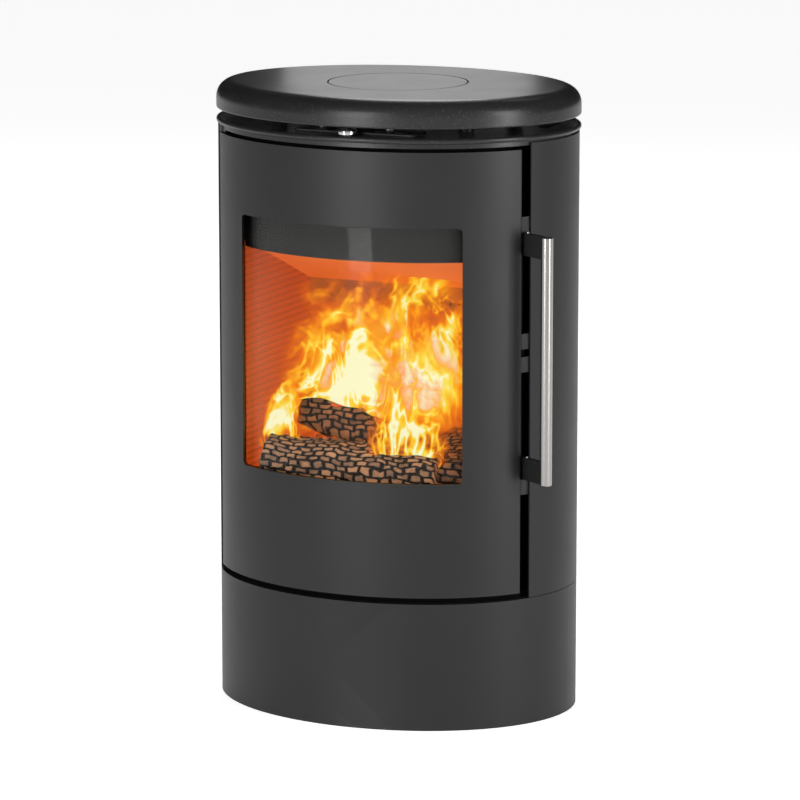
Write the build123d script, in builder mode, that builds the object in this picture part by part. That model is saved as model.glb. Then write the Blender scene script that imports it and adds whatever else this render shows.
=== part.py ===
from build123d import *
import os
from math import atan2, cos, degrees, hypot, radians, sin, sqrt, tan

# Oval cast iron wood stove. Millimetres, +Z up, front towards -Y.
# The origin lies on the floor at the centre of the oval plan.

# Outer oval, shared by the plinth, the side casing and the door
half_width = 218.5
half_depth = 172.5
lip_overhang = 2.0

# Heights, from the floor up
plinth_height = 150.5
casing_joint = 0.6
door_foot_gap = 7.5
door_height = 518.5
door_head_gap = 9.5
top_plate_thickness = 6.6
lid_gap = 10.6
lid_thickness = 32.3

# Clearances
seat_gap = 0.3
shaft_clearance = 0.08
running_gap = 0.5

# Plinth
plinth_wall = 3.0
plinth_flange_width = 40.0
plinth_port_width = 120.0
plinth_port_height = 70.0
foot_pad_radius = 12.0
foot_pad_height = 5.0
foot_screw_radius = 5.0
foot_screw_length = 40.0
foot_bar_height = 14.0
foot_bar_thickness = 5.0
foot_bar_width = 34.0
foot_bar_gap = 0.35
foot_x = half_width - 53.5
foot_y = 70.0

# Side casing
casing_wall = 2.5
casing_edge_x = half_width - 20.0
casing_head_gap = 2.5
rear_slot_length = 46.0
rear_slot_width = 7.0
rear_slot_pitch = 20.0
rear_slot_rows = 5
rear_slot_x = 62.0
rear_slot_height = 330.0

# Door
door_edge_x = half_width - 26.2
door_wall = 6.0
door_edge_round = 3.0
window_half_width = half_width - 79.1
window_sill = 292.0
window_height = 297.0
window_corner = 5.0
glass_overlap = 9.6
glass_thickness = 4.0
glass_seal_thickness = 2.0
glass_seal_width = 7.0
seal_width = 8.0
seal_edge_inset = 24.3
seal_foot_inset = 14.0
seal_head_inset = 14.5
channel_rib_width = 3.0
channel_rib_depth = 5.0

# Door hinge pins
hinge_from_edge = 7.3
hinge_inset = 8.4
hinge_pin_radius = 4.0
hinge_lug_radius = 8.0
hinge_lug_height = 30.0
hinge_washer_thickness = 1.0

# Handle and latch
handle_pivot_from_edge = 8.7
handle_pivot_inset = 14.3
handle_standoff = 40.0
handle_radius = 7.0
handle_foot = 292.0
handle_length = 288.0
arm_height = 26.0
arm_thickness = 6.5
arm_hub_radius = 6.5
latch_shaft_radius = 4.0
bearing_lug_radius = 7.5
bearing_lug_height = 18.0
hook_height = 436.0
hook_thickness = 8.0
hook_reach = 28.0
hook_nose_x = 175.0
hook_nose_width = 5.0
arm_pin_radius = 1.5
arm_pin_stand = 1.2

# Firebox
frame_inset = 13.0
frame_thickness = 4.0
frame_half_width = half_width - 44.5
firebox_opening_half_width = half_width - 63.5
firebox_opening_foot = 262.0
firebox_opening_head = 640.0
ash_opening_half_width = half_width - 106.5
ash_opening_foot = 182.0
ash_opening_head = 238.0
bottom_plate_thickness = 7.0
firebox_half_width = half_width - 71.0
firebox_back = 72.0
liner_thickness = 18.0
liner_gap = 1.5
body_plate = 5.0
body_rib_depth = 8.0
body_rib_width = 4.0
body_rib_pitch = 28.0
hearth_top = 250.0
hearth_thickness = 10.0
groove_pitch = 7.6
groove_width = 2.4
groove_depth = 1.4
baffle_height = 483.0
baffle_angle = 22.0
baffle_thickness = 20.0
baffle_front = -62.0
strip_height = 28.5
strip_thickness = 2.0
strip_hole_radius = 1.75
strip_hole_pitch = 12.0
strip_row_spacing = 12.5
strip_columns = 22
guard_height = 36.0
guard_thickness = 6.0
guard_half_width = half_width - 80.5

# Grate and ash pan
grate_radius = 84.0
grate_thickness = 4.7
grate_y = -25.0
grate_ledge = 9.0
grate_slot_width = 7.0
grate_slot_pitch = 15.0
grate_slots = 9
lever_width = 10.0
lever_thickness = 4.0
lever_length = 118.0
pan_half_width = half_width - 118.5
pan_front = -128.0
pan_back = 66.0
pan_height = 46.0
pan_wall = 1.5
rail_height = 25.5
rail_width = 8.0
rail_x = 80.0

# Air wash duct and air slide
duct_half_width = half_width - 71.5
duct_lip_height = 547.5
duct_floor_rise = 12.5
duct_depth = 33.0
duct_wall = 2.0
duct_slit = 5.0
vent_count = 5
vent_width = 12.0
vent_depth = 9.0
vent_pitch = 25.0
vent_y = -137.0
slide_thickness = 2.0
slide_half_width = 75.0
slide_front = -147.0
slide_back = -109.0
slide_guide_y = -118.0
slide_guide_x = 42.0
slide_guide_radius = 3.0
slide_travel_left = 40.0
slide_travel_right = 20.0
knob_x = 10.0
knob_edge_inset = 9.0
knob_radius = 11.0
knob_height = 5.4
knob_tongue_width = 14.0

# Flue
flue_height = 595.0
flue_outer_radius = 74.5
flue_wall = 3.5
flue_reach = 215.0
flue_flange_radius = 90.0
flue_flange_thickness = 6.0
flue_bolt_circle = 83.0
flue_bolt_radius = 3.0
top_flue_radius = 72.0
blanking_radius = 79.5
blanking_thickness = 3.4
top_collar_wall = 7.0
top_collar_depth = 12.0
convection_slot_length = 44.0
convection_slot_width = 14.0
convection_slot_x = half_width - 32.5
convection_slot_pitch = 56.0
convection_slot_y = 38.0

# Fresh air inlet at the rear
inlet_height = 210.0
inlet_radius = 40.0
inlet_wall = 1.5
inlet_reach = 192.0
intake_half_width = 58.0
intake_foot = 166.0
intake_head = 252.0
intake_back = 150.0
riser_depth = 15.0
riser_head = 490.0
sheet = 1.5

# Lid
lid_edge_round = 20.0
lid_wall = 8.0
cover_radius = 81.5
cover_gap = 1.4
cover_thickness = 6.0
cover_ledge = 7.0
lid_foot_radius = 9.0
lid_foot_x = 118.0
lid_foot_y = 72.0

# Heights worked out from the stack
door_bottom = plinth_height + door_foot_gap
door_top = door_bottom + door_height
lip_bottom = door_top + door_head_gap
lip_top = lip_bottom + top_plate_thickness
lid_bottom = lip_top + lid_gap
lid_top = lid_bottom + lid_thickness
body_foot = plinth_height + bottom_plate_thickness
hearth_bottom = hearth_top - hearth_thickness
window_head = window_sill + window_height

# Insets from the outer oval, worked out from the walls
glass_inset = door_wall + glass_seal_thickness
glass_back_inset = glass_inset + glass_thickness
frame_back_inset = frame_inset + frame_thickness
plate_x = firebox_half_width + liner_thickness + liner_gap
liner_back = firebox_back + liner_thickness
back_y = liner_back + liner_gap


def front_y(x, inset=0.0):
    """Y of the front of the oval, at a given x and inset."""
    a = half_width - inset
    b = half_depth - inset
    return -b * sqrt(1 - (x / a) ** 2)


def outward(x, inset=0.0):
    """Unit vector square to the front of the oval, pointing out."""
    nx = x / (half_width - inset) ** 2
    ny = front_y(x, inset) / (half_depth - inset) ** 2
    return nx / hypot(nx, ny), ny / hypot(nx, ny)


def front_sector(edge_x):
    """Corners of the plan area in front of two cuts that stand square to the oval."""
    reach = 18.0
    nx, ny = outward(edge_x)
    edge_y = front_y(edge_x)
    outer = (edge_x + nx * reach, edge_y + ny * reach)
    inner = (edge_x - nx * reach, edge_y - ny * reach)
    far = 2 * half_width
    right = [inner, outer, (far, outer[1]), (far, -far)]
    left = [(-x, y) for x, y in reversed(right)]
    return right + left


def oval_wall(outer_inset, inner_inset, foot, head):
    """Upright wall between two insets of the oval."""
    with BuildPart() as wall:
        with BuildSketch(Plane.XY.offset(foot)):
            Ellipse(half_width - outer_inset, half_depth - outer_inset)
            Ellipse(half_width - inner_inset, half_depth - inner_inset, mode=Mode.SUBTRACT)
        extrude(amount=head - foot)
    return wall.part


def oval_block(inset, foot, head):
    """Solid upright oval."""
    with BuildPart() as block:
        with BuildSketch(Plane.XY.offset(foot)):
            Ellipse(half_width - inset, half_depth - inset)
        extrude(amount=head - foot)
    return block.part


def front_plane(y=0.0):
    """Upright plane that faces the front, with its x to the right and its y up."""
    return Plane(origin=(0, y, 0), x_dir=(1, 0, 0), z_dir=(0, -1, 0))


def window_frame(half_w, foot, head, band, corner, depth):
    """Rectangular ring seen from the front, as a prism through the front of the oval."""
    with BuildPart() as ring:
        with BuildSketch(front_plane()):
            with Locations((0, (foot + head) / 2)):
                RectangleRounded(2 * half_w, head - foot, corner)
                RectangleRounded(2 * (half_w - band), head - foot - 2 * band, corner / 2, mode=Mode.SUBTRACT)
        extrude(amount=depth)
    return ring.part


def save(piece, name):
    """Names a finished piece and writes it as one file."""
    piece.label = name
    export_step(piece, f"parts/{name}.step")


os.makedirs("parts", exist_ok=True)

hinge_x = -(door_edge_x - hinge_from_edge)
hinge_y = front_y(hinge_x, hinge_inset)
pivot_x = door_edge_x - handle_pivot_from_edge
pivot_y = front_y(pivot_x, handle_pivot_inset)
gap_x = (door_edge_x + casing_edge_x) / 2
gap_nx, gap_ny = outward(gap_x)
bar_x = gap_x + gap_nx * handle_standoff
bar_y = front_y(gap_x) + gap_ny * handle_standoff
arm_angle = degrees(atan2(bar_y - pivot_y, bar_x - pivot_x))
arm_length = hypot(bar_x - pivot_x, bar_y - pivot_y)
handle_head = handle_foot + handle_length


# Foot bars: a flat bar across each end of the plinth, tapped for two levelling screws, and a
# tie bar across its middle, flat on the floor
foot_bar_length = -2 * (front_y(foot_x + foot_bar_width / 2, plinth_wall) + foot_bar_gap)
tie_bar_length = -2 * (front_y(foot_bar_width / 2, plinth_wall) + foot_bar_gap)
with BuildPart() as foot_bars:
    with BuildSketch():
        Rectangle(foot_bar_width, tie_bar_length)
    extrude(amount=foot_bar_thickness)
    with BuildSketch(Plane.XY.offset(foot_bar_height)):
        with GridLocations(2 * foot_x, 1, 2, 1):
            Rectangle(foot_bar_width, foot_bar_length)
        with GridLocations(2 * foot_x, 2 * foot_y, 2, 2):
            Circle(foot_screw_radius, mode=Mode.SUBTRACT)
    extrude(amount=foot_bar_thickness)
save(foot_bars.part, "foot_bars")

# Plinth: an oval sheet shell with a flange at its head, a rear port
with BuildPart() as plinth:
    add(oval_wall(0, plinth_wall, 0, plinth_height))
    add(oval_wall(plinth_wall, plinth_flange_width, plinth_height - plinth_wall, plinth_height))
    with BuildSketch(front_plane(half_depth / 2)):
        with Locations((0, plinth_height / 2)):
            RectangleRounded(plinth_port_width, plinth_port_height, 12)
    extrude(amount=-half_depth, mode=Mode.SUBTRACT)
save(plinth.part, "plinth")

with BuildPart() as levelling_screws:
    with BuildSketch():
        with GridLocations(2 * foot_x, 2 * foot_y, 2, 2):
            Circle(foot_pad_radius)
    extrude(amount=foot_pad_height)
    with BuildSketch():
        with GridLocations(2 * foot_x, 2 * foot_y, 2, 2):
            Circle(foot_screw_radius)
    extrude(amount=foot_screw_length)
    with BuildSketch(Plane.XY.offset(foot_bar_height + foot_bar_thickness)):
        with GridLocations(2 * foot_x, 2 * foot_y, 2, 2):
            RegularPolygon(1.8 * foot_screw_radius, 6)
    extrude(amount=foot_screw_radius)
save(levelling_screws.part, "levelling_screws")

# Bottom casting: carries the firebox plates, the ash pan rails and the lower hinge ear
ear_head = door_bottom - seat_gap - hinge_washer_thickness
with BuildPart() as bottom_casting:
    with BuildSketch(Plane.XY.offset(plinth_height)):
        Ellipse(half_width - frame_inset, half_depth - frame_inset)
    extrude(amount=bottom_plate_thickness)
    with BuildSketch(Plane.XY.offset(plinth_height)):
        with Locations((hinge_x, hinge_y)):
            Circle(hinge_lug_radius)
        with Locations((hinge_x + hinge_lug_radius, hinge_y + hinge_lug_radius)):
            Rectangle(2 * hinge_lug_radius, 2 * hinge_lug_radius)
    extrude(amount=ear_head - plinth_height)
    with BuildSketch(Plane.XY.offset(plinth_height)):
        with Locations((hinge_x, hinge_y)):
            Circle(hinge_pin_radius + shaft_clearance)
    extrude(amount=bottom_plate_thickness, mode=Mode.SUBTRACT)
    with BuildSketch(Plane.XY.offset(ear_head)):
        with Locations((hinge_x, hinge_y)):
            Circle(hinge_lug_radius + running_gap)
    extrude(amount=bottom_plate_thickness, mode=Mode.SUBTRACT)
    with BuildSketch(Plane.XY.offset(body_foot)):
        with Locations((-rail_x, (pan_front + pan_back) / 2), (rail_x, (pan_front + pan_back) / 2)):
            Rectangle(rail_width, pan_back - pan_front - 30)
    extrude(amount=rail_height)
save(bottom_casting.part, "bottom_casting")

with BuildPart() as hinge_washer:
    with BuildSketch(Plane.XY.offset(ear_head)):
        with Locations((hinge_x, hinge_y)):
            Circle(hinge_lug_radius - running_gap)
            Circle(hinge_pin_radius + shaft_clearance, mode=Mode.SUBTRACT)
    extrude(amount=hinge_washer_thickness)
save(hinge_washer.part, "hinge_washer")

# Side casing: one sheet jacket round the sides and back
casing_foot = plinth_height + casing_joint
casing_head = lip_bottom - casing_head_gap
with BuildPart() as side_casing:
    add(oval_wall(0, casing_wall, casing_foot, casing_head))
    with BuildSketch(Plane.XY.offset(casing_foot)):
        with BuildLine():
            Polyline(*front_sector(casing_edge_x), close=True)
        make_face()
    extrude(amount=casing_head - casing_foot, mode=Mode.SUBTRACT)
    with BuildSketch(front_plane(half_depth / 2)):
        with Locations((0, flue_height)):
            Circle(flue_outer_radius + 4 * casing_wall)
        with Locations((0, inlet_height)):
            Circle(inlet_radius + casing_wall)
        with Locations((-rear_slot_x, rear_slot_height), (rear_slot_x, rear_slot_height)):
            with GridLocations(0, rear_slot_pitch, 1, rear_slot_rows):
                SlotOverall(rear_slot_length, rear_slot_width)
    extrude(amount=-half_depth, mode=Mode.SUBTRACT)
save(side_casing.part, "side_casing")

# Front frame: the curved casting that the door seal presses on
with BuildPart() as front_frame:
    add(oval_wall(frame_inset, frame_back_inset, body_foot, lip_bottom))
    with BuildSketch(front_plane()):
        with Locations((0, (body_foot + lip_bottom) / 2)):
            Rectangle(2 * frame_half_width, lip_bottom - body_foot)
        with Locations((0, (firebox_opening_foot + firebox_opening_head) / 2)):
            RectangleRounded(
                2 * firebox_opening_half_width,
                firebox_opening_head - firebox_opening_foot,
                10,
                mode=Mode.SUBTRACT,
            )
        with Locations((0, (ash_opening_foot + ash_opening_head) / 2)):
            RectangleRounded(
                2 * ash_opening_half_width, ash_opening_head - ash_opening_foot, 8, mode=Mode.SUBTRACT
            )
    extrude(amount=half_depth, mode=Mode.INTERSECT)
save(front_frame.part, "front_frame")

# Firebox side plates: cast, with upright ribs on the outside
for side, name in ((-1, "left_side_plate"), (1, "right_side_plate")):
    with BuildPart() as side_plate:
        with BuildSketch(Plane.XY.offset(body_foot)):
            with Locations((side * (plate_x + body_plate / 2), 0)):
                Rectangle(body_plate, 2 * back_y)
            Ellipse(half_width - frame_back_inset, half_depth - frame_back_inset, mode=Mode.INTERSECT)
            with Locations((side * (plate_x + body_plate + body_rib_depth / 2), back_y / 2)):
                with GridLocations(0, body_rib_pitch, 1, 3):
                    Rectangle(body_rib_depth, body_rib_width)
        extrude(amount=lip_bottom - body_foot)
    save(side_plate.part, name)

with BuildPart() as back_plate:
    with BuildSketch(front_plane(back_y)):
        with Locations((0, (body_foot + lip_bottom) / 2)):
            Rectangle(2 * (plate_x + body_plate), lip_bottom - body_foot)
        with Locations((0, flue_height)):
            Circle(flue_outer_radius - flue_wall, mode=Mode.SUBTRACT)
            with PolarLocations(flue_bolt_circle, 4, start_angle=45):
                Circle(flue_bolt_radius, mode=Mode.SUBTRACT)
        with Locations((0, intake_foot + 45)):
            RectangleRounded(70, 40, 5, mode=Mode.SUBTRACT)
        with Locations((0, baffle_height - strip_height / 2)):
            RectangleRounded(80, strip_height / 2, 5, mode=Mode.SUBTRACT)
    extrude(amount=-body_plate)
save(back_plate.part, "back_plate")

# Hearth plate with the stepped seat of the grate
with BuildPart() as hearth_plate:
    with BuildSketch(Plane.XY.offset(hearth_bottom)):
        Rectangle(2 * plate_x, 2 * back_y)
        with Locations((0, -back_y)):
            Rectangle(2 * plate_x, 2 * back_y)
        Ellipse(half_width - frame_back_inset, half_depth - frame_back_inset, mode=Mode.INTERSECT)
    extrude(amount=hearth_thickness)
    with BuildSketch(Plane.XY.offset(hearth_bottom)):
        with Locations((0, grate_y)):
            Circle(grate_radius - grate_ledge)
    extrude(amount=hearth_thickness, mode=Mode.SUBTRACT)
    with BuildSketch(Plane.XY.offset(hearth_top - grate_thickness - seat_gap)):
        with Locations((0, grate_y)):
            Circle(grate_radius + running_gap)
    extrude(amount=grate_thickness + seat_gap, mode=Mode.SUBTRACT)
save(hearth_plate.part, "hearth_plate")

# Riddling grate, turned by a lever over the ash pan
with BuildPart() as grate:
    with BuildSketch(Plane.XY.offset(hearth_top - grate_thickness)):
        with Locations((0, grate_y)):
            Circle(grate_radius)
            with GridLocations(grate_slot_pitch, 0, grate_slots, 1):
                SlotOverall(
                    1.5 * grate_radius - grate_slot_pitch,
                    grate_slot_width,
                    rotation=90,
                    mode=Mode.SUBTRACT,
                )
            Circle(2 * lever_width, mode=Mode.ADD)
    extrude(amount=grate_thickness)
    with BuildSketch(Plane.XY.offset(hearth_bottom - running_gap)):
        with Locations((0, grate_y)):
            Circle(lever_width)
    extrude(amount=hearth_thickness - grate_thickness + running_gap)
save(grate.part, "grate")

with BuildPart() as grate_lever:
    with BuildSketch(Plane.XY.offset(hearth_bottom - running_gap - lever_thickness)):
        with Locations((0, grate_y)):
            Circle(lever_width)
        with Locations((0, grate_y - lever_length / 2)):
            Rectangle(lever_width, lever_length)
        with Locations((0, grate_y - lever_length)):
            Circle(0.8 * lever_width)
    extrude(amount=lever_thickness)
save(grate_lever.part, "grate_lever")

# Ash pan: an open sheet tray on the rails of the bottom casting
pan_foot = body_foot + rail_height
with BuildPart() as ash_pan:
    with BuildSketch(Plane.XY.offset(pan_foot)):
        with Locations((0, (pan_front + pan_back) / 2)):
            Rectangle(2 * pan_half_width, pan_back - pan_front)
        Ellipse(
            half_width - frame_back_inset - 2 * pan_wall,
            half_depth - frame_back_inset - 2 * pan_wall,
            mode=Mode.INTERSECT,
        )
    extrude(amount=pan_height)
    offset(amount=-pan_wall, openings=ash_pan.faces().sort_by(Axis.Z)[-1])
    with BuildSketch(Plane.XY.offset(pan_foot + pan_height / 2)):
        with Locations((0, pan_front - 6)):
            RectangleRounded(60, 14, 5)
    extrude(amount=pan_wall)
save(ash_pan.part, "ash_pan")

# Log guard: a low curved bar on the hearth behind the glass
guard_inset = frame_back_inset + duct_wall
with BuildPart() as log_guard:
    add(oval_wall(guard_inset, guard_inset + guard_thickness, hearth_top, hearth_top + guard_height))
    with BuildSketch(front_plane()):
        with Locations((0, hearth_top + guard_height / 2)):
            RectangleRounded(2 * guard_half_width, guard_height, 6)
            with GridLocations(guard_half_width / 2, 0, 4, 1):
                SlotOverall(0.38 * guard_half_width, 0.25 * guard_height, mode=Mode.SUBTRACT)
    extrude(amount=half_depth, mode=Mode.INTERSECT)
save(log_guard.part, "log_guard")


def under_baffle(y):
    """Height of the baffle's underside at a given y."""
    return baffle_height + (firebox_back - y) * tan(radians(baffle_angle))


# Side liners: grooved boards whose sloping heads carry the baffle
liner_front = front_y(firebox_half_width, guard_inset)
liner_head = under_baffle(liner_front)
groove_rows = int((liner_head - hearth_top) / groove_pitch) - 1
for side, name in ((-1, "left_liner"), (1, "right_liner")):
    with BuildPart() as liner:
        with BuildSketch(Plane.YZ.offset(side * firebox_half_width)):
            with BuildLine():
                Polyline(
                    (-half_depth, hearth_top),
                    (liner_back, hearth_top),
                    (liner_back, under_baffle(liner_back)),
                    (-half_depth, under_baffle(-half_depth)),
                    close=True,
                )
            make_face()
        extrude(amount=side * liner_thickness)
        with BuildSketch(Plane.YZ.offset(side * firebox_half_width)):
            with Locations((0, hearth_top + groove_pitch * (groove_rows + 1) / 2)):
                with GridLocations(0, groove_pitch, 1, groove_rows):
                    Rectangle(2 * half_depth, groove_width)
        extrude(amount=side * groove_depth, mode=Mode.SUBTRACT)
        add(oval_block(guard_inset, hearth_top, lip_bottom), mode=Mode.INTERSECT)
    save(liner.part, name)

with BuildPart() as back_liner:
    with BuildSketch(Plane.XY.offset(hearth_top)):
        with Locations((0, firebox_back + liner_thickness / 2)):
            Rectangle(2 * (firebox_half_width - seat_gap), liner_thickness)
    extrude(amount=baffle_height - strip_height - hearth_top)
save(back_liner.part, "back_liner")

# Perforated air strip and the channel behind it, both cut along the baffle's slope
with BuildPart() as baffle_space:
    with BuildSketch(Plane.YZ.offset(-half_width)):
        with BuildLine():
            Polyline(
                (-half_depth, under_baffle(-half_depth)),
                (half_depth, under_baffle(half_depth)),
                (half_depth, lid_top),
                (-half_depth, lid_top),
                close=True,
            )
        make_face()
    extrude(amount=2 * half_width)

with BuildPart() as air_strip:
    with BuildSketch(front_plane(firebox_back)):
        with Locations((0, baffle_height - strip_height / 2)):
            Rectangle(2 * (firebox_half_width - seat_gap), strip_height)
            with Locations((0, strip_row_spacing / 2)):
                with GridLocations(strip_hole_pitch, 0, strip_columns, 1):
                    Circle(strip_hole_radius, mode=Mode.SUBTRACT)
            with Locations((0, -strip_row_spacing / 2)):
                with GridLocations(strip_hole_pitch, 0, strip_columns - 1, 1):
                    Circle(strip_hole_radius, mode=Mode.SUBTRACT)
    extrude(amount=-strip_thickness)
    add(baffle_space.part, mode=Mode.SUBTRACT)
save(air_strip.part, "air_strip")

with BuildPart() as air_channel:
    with BuildSketch(front_plane(firebox_back + strip_thickness)):
        with Locations((0, baffle_height - strip_height / 2)):
            Rectangle(2 * (firebox_half_width - seat_gap), strip_height)
    extrude(amount=-(back_y - firebox_back - strip_thickness))
    add(baffle_space.part, mode=Mode.SUBTRACT)
    with BuildSketch(front_plane(firebox_back + strip_thickness)):
        with Locations((0, baffle_height - 0.6 * strip_height)):
            Rectangle(2 * (firebox_half_width - 3 * sheet), 0.62 * strip_height)
    extrude(amount=-(back_y - firebox_back), mode=Mode.SUBTRACT)
save(air_channel.part, "air_channel")

# Baffle: a thick sloping board, low at the back and open at the front
with BuildPart() as baffle:
    rise = baffle_thickness / cos(radians(baffle_angle))
    with BuildSketch(Plane.YZ.offset(-(plate_x - running_gap))):
        with BuildLine():
            Polyline(
                (baffle_front, under_baffle(baffle_front)),
                (back_y - running_gap, under_baffle(back_y - running_gap)),
                (back_y - running_gap, under_baffle(back_y - running_gap) + rise),
                (baffle_front, under_baffle(baffle_front) + rise),
                close=True,
            )
        make_face()
    extrude(amount=2 * (plate_x - running_gap))
save(baffle.part, "baffle")

# Air wash duct: open at its head, with a slit behind the glass at its foot
duct_inset = frame_back_inset
duct_back_inset = duct_inset + duct_depth
duct_floor = duct_lip_height + duct_floor_rise
with BuildPart() as duct_space:
    add(oval_wall(duct_inset + duct_wall, duct_back_inset - duct_wall, duct_floor + duct_wall, lip_bottom))
    add(oval_wall(duct_inset + duct_wall, duct_inset + duct_wall + duct_slit, duct_floor, lip_bottom))
    with BuildSketch(front_plane()):
        with Locations((0, lip_bottom / 2)):
            Rectangle(2 * (duct_half_width - duct_wall), lip_bottom)
    extrude(amount=half_depth, mode=Mode.INTERSECT)
with BuildPart() as airwash_duct:
    add(oval_wall(duct_inset, duct_back_inset, duct_lip_height, lip_bottom))
    with BuildSketch(front_plane()):
        with Locations((0, lip_bottom / 2)):
            Rectangle(2 * duct_half_width, lip_bottom)
    extrude(amount=half_depth, mode=Mode.INTERSECT)
    add(
        oval_wall(duct_inset + duct_wall, half_depth / 2, duct_lip_height, duct_floor),
        mode=Mode.SUBTRACT,
    )
    add(duct_space.part, mode=Mode.SUBTRACT)
save(airwash_duct.part, "airwash_duct")

# Top casting: the rounded lip over the door, with the top flue hole, vents and hinge ear
with BuildPart() as top_casting:
    with BuildSketch(Plane.XY.offset(lip_bottom)):
        Ellipse(half_width + lip_overhang, half_depth + lip_overhang)
    extrude(amount=top_plate_thickness)
    fillet(top_casting.edges().filter_by(GeomType.ELLIPSE), radius=0.46 * top_plate_thickness)
    skirt_inset = casing_wall + 1.0
    add(oval_wall(skirt_inset, skirt_inset + casing_wall, lip_bottom - 0.58 * door_head_gap, lip_bottom))
    with BuildSketch(Plane.XY.offset(door_top + running_gap)):
        with Locations((hinge_x, hinge_y)):
            Circle(hinge_lug_radius)
    extrude(amount=lip_bottom - door_top - running_gap)
    with BuildSketch(Plane.XY.offset(door_top)):
        with Locations((hinge_x, hinge_y)):
            Circle(hinge_pin_radius + shaft_clearance)
    extrude(amount=0.75 * door_head_gap, mode=Mode.SUBTRACT)
    with BuildSketch(Plane.XY.offset(lip_bottom - top_collar_depth)):
        Circle(top_flue_radius + top_collar_wall)
    extrude(amount=top_collar_depth)
    with BuildSketch(Plane.XY.offset(lip_bottom - top_collar_depth)):
        Circle(top_flue_radius)
    extrude(amount=top_collar_depth + top_plate_thickness, mode=Mode.SUBTRACT)
    with BuildSketch(Plane.XY.offset(lip_top - blanking_thickness)):
        Circle(blanking_radius + running_gap)
    extrude(amount=blanking_thickness, mode=Mode.SUBTRACT)
    with BuildSketch(Plane.XY.offset(lip_bottom)):
        with Locations((0, vent_y)):
            with GridLocations(vent_pitch, 0, vent_count, 1):
                Rectangle(vent_width, vent_depth)
        with Locations((0, convection_slot_y)):
            with GridLocations(2 * convection_slot_x, convection_slot_pitch, 2, 2):
                SlotOverall(convection_slot_length, convection_slot_width, rotation=90)
        with Locations((0, half_depth - 2.2 * convection_slot_width)):
            with GridLocations(1.3 * convection_slot_length, 0, 3, 1):
                SlotOverall(convection_slot_length, convection_slot_width)
    extrude(amount=top_plate_thickness, mode=Mode.SUBTRACT)
save(top_casting.part, "top_casting")

with BuildPart() as flue_blanking_plate:
    with BuildSketch(Plane.XY.offset(lip_top - blanking_thickness)):
        Circle(blanking_radius)
    extrude(amount=blanking_thickness)
    chamfer(flue_blanking_plate.faces().sort_by(Axis.Z)[-1].edges(), length=0.2 * blanking_thickness)
save(flue_blanking_plate.part, "flue_blanking_plate")

# Rear flue collar with its bolted flange
collar_y = back_y + body_plate
with BuildPart() as flue_collar:
    with BuildSketch(front_plane(collar_y)):
        with Locations((0, flue_height)):
            Circle(flue_flange_radius)
    extrude(amount=-flue_flange_thickness)
    with BuildSketch(front_plane(collar_y)):
        with Locations((0, flue_height)):
            Circle(flue_outer_radius)
    extrude(amount=-(flue_reach - collar_y))
    with BuildSketch(front_plane(collar_y)):
        with Locations((0, flue_height)):
            Circle(flue_outer_radius - flue_wall)
    extrude(amount=-(flue_reach - collar_y), mode=Mode.SUBTRACT)
    with BuildSketch(front_plane(collar_y)):
        with Locations((0, flue_height)):
            with PolarLocations(flue_bolt_circle, 4, start_angle=45):
                Circle(flue_bolt_radius)
    extrude(amount=-flue_flange_thickness, mode=Mode.SUBTRACT)
save(flue_collar.part, "flue_collar")

with BuildPart() as flue_bolts:
    with BuildSketch(front_plane(back_y)):
        with Locations((0, flue_height)):
            with PolarLocations(flue_bolt_circle, 4, start_angle=45):
                Circle(flue_bolt_radius)
    extrude(amount=-(body_plate + flue_flange_thickness))
    with BuildSketch(front_plane(collar_y + flue_flange_thickness)):
        with Locations((0, flue_height)):
            with PolarLocations(flue_bolt_circle, 4, start_angle=45):
                RegularPolygon(1.9 * flue_bolt_radius, 6)
    extrude(amount=-1.4 * flue_bolt_radius)
save(flue_bolts.part, "flue_bolts")

# Fresh air: a spigot through the casing, a box behind the firebox and a riser to the strip
with BuildPart() as air_intake_box:
    with BuildSketch(Plane.YZ.offset(-intake_half_width)):
        with BuildLine():
            Polyline(
                (collar_y, intake_foot),
                (intake_back, intake_foot),
                (intake_back, intake_head),
                (collar_y + riser_depth, intake_head),
                (collar_y + riser_depth, riser_head),
                (collar_y, riser_head),
                close=True,
            )
        make_face()
    extrude(amount=2 * intake_half_width)
    with BuildSketch(Plane.YZ.offset(-intake_half_width + sheet)):
        with BuildLine():
            Polyline(
                (collar_y, intake_foot + sheet),
                (intake_back - sheet, intake_foot + sheet),
                (intake_back - sheet, intake_head - sheet),
                (collar_y + riser_depth - sheet, intake_head - sheet),
                (collar_y + riser_depth - sheet, riser_head - sheet),
                (collar_y, riser_head - sheet),
                close=True,
            )
        make_face()
    extrude(amount=2 * (intake_half_width - sheet), mode=Mode.SUBTRACT)
    with BuildSketch(front_plane(intake_back - sheet)):
        with Locations((0, inlet_height)):
            Circle(inlet_radius - inlet_wall)
    extrude(amount=-sheet, mode=Mode.SUBTRACT)
save(air_intake_box.part, "air_intake_box")

with BuildPart() as air_inlet_spigot:
    with BuildSketch(front_plane(intake_back)):
        with Locations((0, inlet_height)):
            Circle(inlet_radius)
            Circle(inlet_radius - inlet_wall, mode=Mode.SUBTRACT)
    extrude(amount=-(inlet_reach - intake_back))
save(air_inlet_spigot.part, "air_inlet_spigot")

# Brackets between the back plate and the casing
bracket_x = 0.6 * plate_x
with BuildPart() as casing_brackets:
    for height in (hearth_top, flue_height + flue_flange_radius / 2):
        with BuildSketch(Plane.XY.offset(height)):
            with Locations((-bracket_x, (collar_y + half_depth) / 2), (bracket_x, (collar_y + half_depth) / 2)):
                Rectangle(20, half_depth - collar_y)
            Ellipse(half_width - casing_wall, half_depth - casing_wall, mode=Mode.INTERSECT)
        extrude(amount=2 * sheet)
save(casing_brackets.part, "casing_brackets")

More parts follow.
